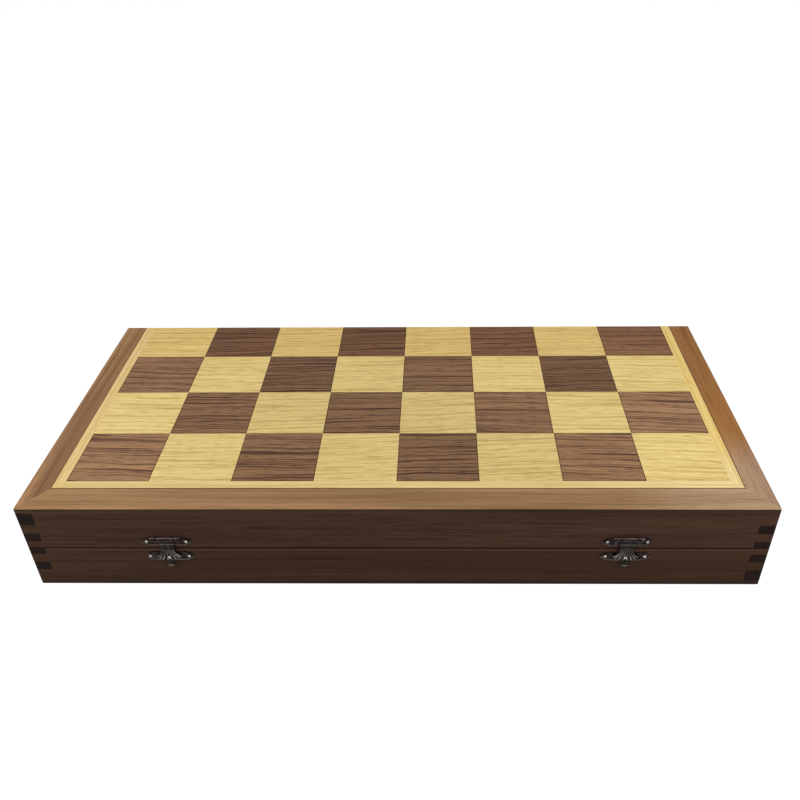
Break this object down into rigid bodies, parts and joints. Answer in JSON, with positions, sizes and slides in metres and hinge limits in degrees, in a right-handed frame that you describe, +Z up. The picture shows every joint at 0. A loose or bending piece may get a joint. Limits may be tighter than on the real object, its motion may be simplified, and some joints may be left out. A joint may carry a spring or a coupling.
{
  "type": "folding chess and backgammon case",
  "caption": "Folding wooden game case: chess board outside, backgammon board inside, finger-jointed trays on butt hinges, shut by stamped latches with hinged flaps.",
  "frame": {"origin": "middle of the underside of the shut case", "axes": "+X along the case to the right as seen from the latches, +Y from the latches to the hinges, +Z up"},
  "size_m": [0.48, 0.2455, 0.066],
  "materials": {
    "walnut_wall": "satin lacquer",
    "walnut_frame": "satin lacquer",
    "light_band": "satin lacquer",
    "dark_square": "satin lacquer",
    "light_square": "satin lacquer",
    "plywood": "sanded",
    "field_veneer": "satin lacquer",
    "dark_point": "satin lacquer",
    "red_point": "satin lacquer",
    "hinge_brass": "aged",
    "latch_bronze": "antique bronze",
    "nail_steel": "bright"
  },
  "bodies": {
    "lower_tray": {"left_catch_plate": "latch_bronze", "left_hinge_lower_leaf": "hinge_brass", "left_hinge_pin": "hinge_brass", "lower_back_wall": "walnut_wall", "lower_backgammon_field": "field_veneer", "lower_chess_panel": "plywood", "lower_dark_points": "dark_point", "lower_dark_squares": "dark_square", "lower_floor_panel": "plywood", "lower_front_band": "light_band", "lower_front_frame": "walnut_frame", "lower_front_wall": "walnut_wall", "lower_hinge_screws": "hinge_brass", "lower_latch_nails": "nail_steel", "lower_left_band": "light_band", "lower_left_frame": "walnut_frame", "lower_left_wall": "walnut_wall", "lower_light_squares": "light_square", "lower_red_points": "red_point", "lower_right_band": "light_band", "lower_right_frame": "walnut_frame", "lower_right_wall": "walnut_wall", "right_catch_plate": "latch_bronze", "right_hinge_lower_leaf": "hinge_brass", "right_hinge_pin": "hinge_brass"},
    "upper_tray": {"left_hinge_upper_leaf": "hinge_brass", "left_latch_pin": "latch_bronze", "left_latch_plate": "latch_bronze", "right_hinge_upper_leaf": "hinge_brass", "right_latch_pin": "latch_bronze", "right_latch_plate": "latch_bronze", "upper_back_wall": "walnut_wall", "upper_backgammon_field": "field_veneer", "upper_chess_panel": "plywood", "upper_dark_points": "dark_point", "upper_dark_squares": "dark_square", "upper_floor_panel": "plywood", "upper_front_band": "light_band", "upper_front_frame": "walnut_frame", "upper_front_wall": "walnut_wall", "upper_hinge_screws": "hinge_brass", "upper_latch_nails": "nail_steel", "upper_left_band": "light_band", "upper_left_frame": "walnut_frame", "upper_left_wall": "walnut_wall", "upper_light_squares": "light_square", "upper_red_points": "red_point", "upper_right_band": "light_band", "upper_right_frame": "walnut_frame", "upper_right_wall": "walnut_wall"},
    "left_flap": {"left_latch_flap": "latch_bronze"},
    "right_flap": {"right_latch_flap": "latch_bronze"}
  },
  "joints": [
    {"name": "lid_hinge", "type": "hinge", "parent": "lower_tray", "child": "upper_tray", "pos_m": [0, 0.1202, 0.033], "axis": [-1, 0, 0], "range_deg": [0, 180]},
    {"name": "left_latch_hinge", "type": "hinge", "parent": "upper_tray", "child": "left_flap", "pos_m": [-0.148, -0.1219, 0.0422], "axis": [-1, 0, 0], "range_deg": [0, 165]},
    {"name": "right_latch_hinge", "type": "hinge", "parent": "upper_tray", "child": "right_flap", "pos_m": [0.148, -0.1219, 0.0422], "axis": [-1, 0, 0], "range_deg": [0, 165]}
  ]
}
